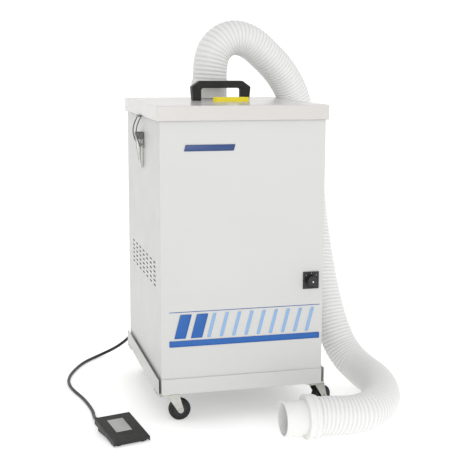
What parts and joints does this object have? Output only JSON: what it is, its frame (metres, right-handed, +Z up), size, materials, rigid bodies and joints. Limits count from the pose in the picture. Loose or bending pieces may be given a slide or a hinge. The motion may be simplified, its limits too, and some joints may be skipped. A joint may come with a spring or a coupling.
{
  "type": "cyclone dust collector cabinet",
  "caption": "Wheeled sheet steel dust separator cabinet with latched lid, corrugated suction hose, rotary switch and a corded foot pedal.",
  "frame": {"origin": "on the floor under the middle of the cabinet", "axes": "+Z up, -Y out of the front, +X to the right seen from the front"},
  "size_m": [0.7686, 0.7894, 0.9159],
  "materials": {
    "grey": "satin powder coat, light grey",
    "lid_grey": "gloss powder coat, off white",
    "zinc": "zinc plated",
    "black_plastic": "fine textured black plastic",
    "yellow": "yellow plastic",
    "hose_white": "white corrugated plastic hose",
    "cuff_white": "white moulded plastic",
    "black_rubber": "black rubber",
    "label": "grey plate",
    "wheel": "black tread and hub",
    "cord": "black round cord"
  },
  "bodies": {
    "cabinet": {"front_panel": "grey", "back_panel": "grey", "left_panel": "grey", "right_panel": "grey", "base_tray": "grey", "lid": "lid_grey", "inlet_collar": "lid_grey", "lid_handle": "black_plastic", "lid_tag": "yellow", "left_latch_base": "zinc", "right_latch_base": "zinc", "left_latch_keeper": "zinc", "right_latch_keeper": "zinc", "caster_plates": "zinc", "switch_plate": "black_plastic", "pedal_base": "black_plastic", "pedal_pin": "zinc", "pedal_feet": "black_rubber", "pedal_strain_relief": "black_rubber", "cord_gland": "black_plastic", "pedal_cord": "cord", "hose_top_cuff": "cuff_white", "hose": "hose_white", "hose_end_ring": "cuff_white", "hose_end_sleeve": "cuff_white"},
    "left_latch_lever": {"left_latch_lever": "zinc"},
    "left_latch_bail": {"left_latch_bail": "zinc"},
    "right_latch_lever": {"right_latch_lever": "zinc"},
    "right_latch_bail": {"right_latch_bail": "zinc"},
    "front_left_caster": {"front_left_caster_fork": "zinc", "front_left_caster_axle": "zinc"},
    "front_left_wheel": {"front_left_caster_wheel": "wheel"},
    "front_right_caster": {"front_right_caster_fork": "zinc", "front_right_caster_axle": "zinc"},
    "front_right_wheel": {"front_right_caster_wheel": "wheel"},
    "rear_left_caster": {"rear_left_caster_fork": "zinc", "rear_left_caster_axle": "zinc"},
    "rear_left_wheel": {"rear_left_caster_wheel": "wheel"},
    "rear_right_caster": {"rear_right_caster_fork": "zinc", "rear_right_caster_axle": "zinc"},
    "rear_right_wheel": {"rear_right_caster_wheel": "wheel"},
    "knob": {"switch_knob": "black_plastic"},
    "treadle": {"pedal_treadle": "black_plastic", "pedal_label": "label"}
  },
  "joints": [
    {"name": "left_latch_lift", "type": "hinge", "parent": "cabinet", "child": "left_latch_lever", "pos_m": [-0.201, -0.01, 0.64], "axis": [0, 1, 0], "range_deg": [0, 60]},
    {"name": "left_bail_swing", "type": "hinge", "parent": "left_latch_lever", "child": "left_latch_bail", "pos_m": [-0.2005, -0.01, 0.618], "axis": [0, 1, 0], "range_deg": [-45, 0]},
    {"name": "right_latch_lift", "type": "hinge", "parent": "cabinet", "child": "right_latch_lever", "pos_m": [0.201, -0.01, 0.64], "axis": [0, -1, 0], "range_deg": [0, 60]},
    {"name": "right_bail_swing", "type": "hinge", "parent": "right_latch_lever", "child": "right_latch_bail", "pos_m": [0.2005, -0.01, 0.618], "axis": [0, -1, 0], "range_deg": [-45, 0]},
    {"name": "front_left_caster_swivel", "type": "hinge", "parent": "cabinet", "child": "front_left_caster", "pos_m": [-0.176, -0.19, 0.066], "axis": [0, 0, 1], "continuous": true},
    {"name": "front_left_wheel_roll", "type": "hinge", "parent": "front_left_caster", "child": "front_left_wheel", "pos_m": [-0.14205, -0.18822, 0.0254], "axis": [-0.0523, 0.9986, 0], "continuous": true},
    {"name": "front_right_caster_swivel", "type": "hinge", "parent": "cabinet", "child": "front_right_caster", "pos_m": [0.176, -0.19, 0.066], "axis": [0, 0, 1], "continuous": true},
    {"name": "front_right_wheel_roll", "type": "hinge", "parent": "front_right_caster", "child": "front_right_wheel", "pos_m": [0.20656, -0.1751, 0.0254], "axis": [-0.4384, 0.8988, 0], "continuous": true},
    {"name": "rear_left_caster_swivel", "type": "hinge", "parent": "cabinet", "child": "rear_left_caster", "pos_m": [-0.176, 0.19, 0.066], "axis": [0, 0, 1], "continuous": true},
    {"name": "rear_left_wheel_roll", "type": "hinge", "parent": "rear_left_caster", "child": "rear_left_wheel", "pos_m": [-0.14301, 0.19823, 0.0254], "axis": [-0.2419, 0.9703, 0], "continuous": true},
    {"name": "rear_right_caster_swivel", "type": "hinge", "parent": "cabinet", "child": "rear_right_caster", "pos_m": [0.176, 0.19, 0.066], "axis": [0, 0, 1], "continuous": true},
    {"name": "rear_right_wheel_roll", "type": "hinge", "parent": "rear_right_caster", "child": "rear_right_wheel", "pos_m": [0.20834, 0.17949, 0.0254], "axis": [0.309, 0.9511, 0], "continuous": true},
    {"name": "switch_turn", "type": "hinge", "parent": "cabinet", "child": "knob", "pos_m": [0.1604, -0.2253, 0.3204], "axis": [0, -1, 0], "range_deg": [-45, 45]},
    {"name": "treadle_press", "type": "hinge", "parent": "cabinet", "child": "treadle", "pos_m": [-0.27561, -0.3085, 0.0044], "axis": [-0.9659, -0.2588, 0], "range_deg": [0, 4], "stiffness_Nm_per_rad": 8, "springref_deg": -2.86}
  ],
  "couplings": [
    {"joint": "left_bail_swing", "follows": "left_latch_lift", "ratio": -0.75},
    {"joint": "right_bail_swing", "follows": "right_latch_lift", "ratio": -0.75}
  ]
}
